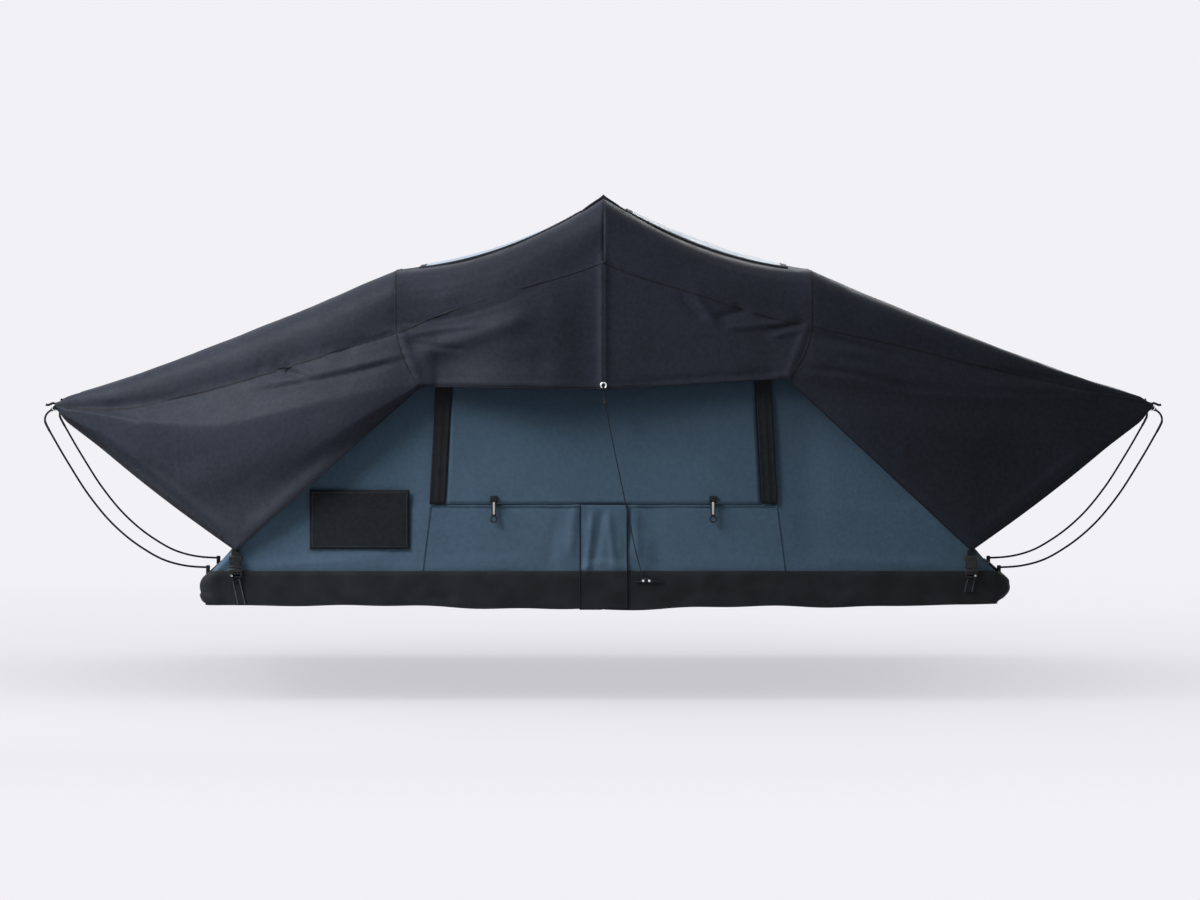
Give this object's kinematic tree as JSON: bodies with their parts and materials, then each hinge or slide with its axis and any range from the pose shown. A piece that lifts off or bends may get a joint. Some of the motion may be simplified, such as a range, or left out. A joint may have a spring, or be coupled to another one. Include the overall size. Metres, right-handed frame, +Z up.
{
  "type": "roof top tent",
  "caption": "Fold-out soft-shell roof top tent, open: hinged base halves, folding bows, fabric body and a rain fly with an awning on sprung rods at each end.",
  "frame": {"origin": "bottom centre, on the fold line, at the underside of the mounting rails and skirts", "axes": "+Z up, +X towards the folding half, -Y the front with the label patch and guy line"},
  "size_m": [3.3446, 1.9822, 1.2095],
  "materials": {
    "fly_fabric": "coated ripstop polyester, dark charcoal navy, satin",
    "body_fabric": "poly-cotton canvas, slate blue, matt",
    "skirt_pvc": "PVC coated cloth, black, matt",
    "black_webbing": "woven webbing and zip flaps, black",
    "panel_sheet": "embossed aluminium sandwich panel",
    "aluminium": "mill extrusion, satin",
    "zinc_steel": "zinc plated",
    "mattress_cover": "knitted cover over foam, grey",
    "clear_pvc": "milky clear vinyl",
    "black_plastic": "moulded acetal, black",
    "spring_rod": "spring steel, black sleeve",
    "bright_metal": "nickel plated",
    "cord": "braided cord, black"
  },
  "bodies": {
    "fixed_base": {"fixed_panel": "panel_sheet", "fixed_frame": "aluminium", "outer_mounting_rail": "aluminium", "inner_mounting_rail": "aluminium", "fixed_hinge_brackets": "zinc_steel", "hinge_pins": "zinc_steel", "hinge_nuts": "zinc_steel", "fixed_mattress": "mattress_cover", "fixed_skirt": "skirt_pvc", "fixed_body": "body_fabric", "fixed_fly": "fly_fabric", "fixed_skylight": "clear_pvc", "ridge_cap": "fly_fabric", "fixed_door": "body_fabric", "fixed_window_panels": "body_fabric", "fixed_zip_strips": "black_webbing", "label_patch": "black_webbing", "hinge_gussets": "body_fabric", "fixed_rod_sockets": "black_plastic", "fixed_corner_straps": "black_webbing", "fixed_buckle_sockets": "black_plastic", "porch_eyelets": "bright_metal", "guy_cord": "cord", "cord_lock": "black_plastic", "fixed_tab_anchor": "black_webbing", "fixed_tip_grommets": "bright_metal"},
    "folding_base": {"folding_panel": "panel_sheet", "folding_frame": "aluminium", "folding_hinge_brackets": "zinc_steel", "folding_mattress": "mattress_cover", "folding_skirt": "skirt_pvc", "folding_body": "body_fabric", "folding_fly": "fly_fabric", "folding_skylight": "clear_pvc", "folding_door": "body_fabric", "folding_window_panels": "body_fabric", "folding_zip_strips": "black_webbing", "folding_rod_sockets": "black_plastic", "folding_corner_straps": "black_webbing", "folding_buckle_sockets": "black_plastic", "folding_tab_anchor": "black_webbing", "folding_tip_grommets": "bright_metal", "guy_hook": "bright_metal"},
    "left_bow": {"left_bow": "aluminium", "left_bow_eyes": "black_plastic"},
    "centre_bow": {"centre_bow": "aluminium", "centre_bow_eyes": "black_plastic"},
    "right_bow": {"right_bow": "aluminium", "right_bow_eyes": "black_plastic"},
    "left_awning": {"left_rods": "spring_rod", "left_rod_hooks": "black_plastic"},
    "right_awning": {"right_rods": "spring_rod", "right_rod_hooks": "black_plastic"},
    "buckle_front_left": {"buckle_prong_front_left": "black_plastic"},
    "buckle_front_right": {"buckle_prong_front_right": "black_plastic"},
    "buckle_rear_left": {"buckle_prong_rear_left": "black_plastic"},
    "buckle_rear_right": {"buckle_prong_rear_right": "black_plastic"},
    "tab_left": {"pull_tab_left": "black_webbing"},
    "tab_right": {"pull_tab_right": "black_webbing"}
  },
  "joints": [
    {"name": "base_fold", "type": "hinge", "parent": "fixed_base", "child": "folding_base", "pos_m": [0, 0, 0.145], "axis": [0, -1, 0], "range_deg": [0, 179.5], "deforming": ["fixed_body", "folding_body", "fixed_fly", "folding_fly", "fixed_skylight", "folding_skylight", "ridge_cap", "fixed_door", "folding_door", "fixed_window_panels", "folding_window_panels", "fixed_zip_strips", "folding_zip_strips", "label_patch", "hinge_gussets", "porch_eyelets", "guy_cord", "cord_lock", "guy_hook", "fixed_tip_grommets", "folding_tip_grommets", "fixed_buckle_sockets", "folding_buckle_sockets", "fixed_tab_anchor", "folding_tab_anchor", "pull_tab_left", "pull_tab_right", "left_rods", "right_rods"]},
    {"name": "left_bow_swing", "type": "hinge", "parent": "fixed_base", "child": "left_bow", "pos_m": [0, 0, 0.145], "axis": [0, -1, 0], "range_deg": [0, 55]},
    {"name": "centre_bow_swing", "type": "hinge", "parent": "fixed_base", "child": "centre_bow", "pos_m": [0, 0, 0.145], "axis": [0, -1, 0], "range_deg": [0, 89.8]},
    {"name": "right_bow_swing", "type": "hinge", "parent": "fixed_base", "child": "right_bow", "pos_m": [0, 0, 0.145], "axis": [0, -1, 0], "range_deg": [0, 125.1]},
    {"name": "left_awning_fold", "type": "hinge", "parent": "fixed_base", "child": "left_awning", "pos_m": [-1.182, 0, 0.104], "axis": [0, 1, 0], "range_deg": [0, 132.5]},
    {"name": "right_awning_fold", "type": "hinge", "parent": "folding_base", "child": "right_awning", "pos_m": [1.182, 0, 0.104], "axis": [0, -1, 0], "range_deg": [0, 132.5]},
    {"name": "buckle_front_left_release", "type": "slide", "parent": "fixed_base", "child": "buckle_front_left", "axis": [0, 0, -1], "range_m": [0, 0.035]},
    {"name": "buckle_front_right_release", "type": "slide", "parent": "folding_base", "child": "buckle_front_right", "axis": [0, 0, -1], "range_m": [0, 0.035]},
    {"name": "buckle_rear_left_release", "type": "slide", "parent": "fixed_base", "child": "buckle_rear_left", "axis": [0, 0, -1], "range_m": [0, 0.035]},
    {"name": "buckle_rear_right_release", "type": "slide", "parent": "folding_base", "child": "buckle_rear_right", "axis": [0, 0, -1], "range_m": [0, 0.035]},
    {"name": "tab_left_swing", "type": "hinge", "parent": "fixed_base", "child": "tab_left", "pos_m": [-0.326, -0.952, 0.309], "axis": [-1, 0, 0], "range_deg": [0, 100]},
    {"name": "tab_right_swing", "type": "hinge", "parent": "folding_base", "child": "tab_right", "pos_m": [0.326, -0.952, 0.309], "axis": [-1, 0, 0], "range_deg": [0, 100]}
  ],
  "couplings": [
    {"joint": "left_bow_swing", "follows": "base_fold", "ratio": 0.3048},
    {"joint": "centre_bow_swing", "follows": "base_fold", "ratio": 0.5},
    {"joint": "right_bow_swing", "follows": "base_fold", "ratio": 0.6952},
    {"joint": "left_awning_fold", "follows": "base_fold", "ratio": 0.738},
    {"joint": "right_awning_fold", "follows": "base_fold", "ratio": 0.738}
  ]
}
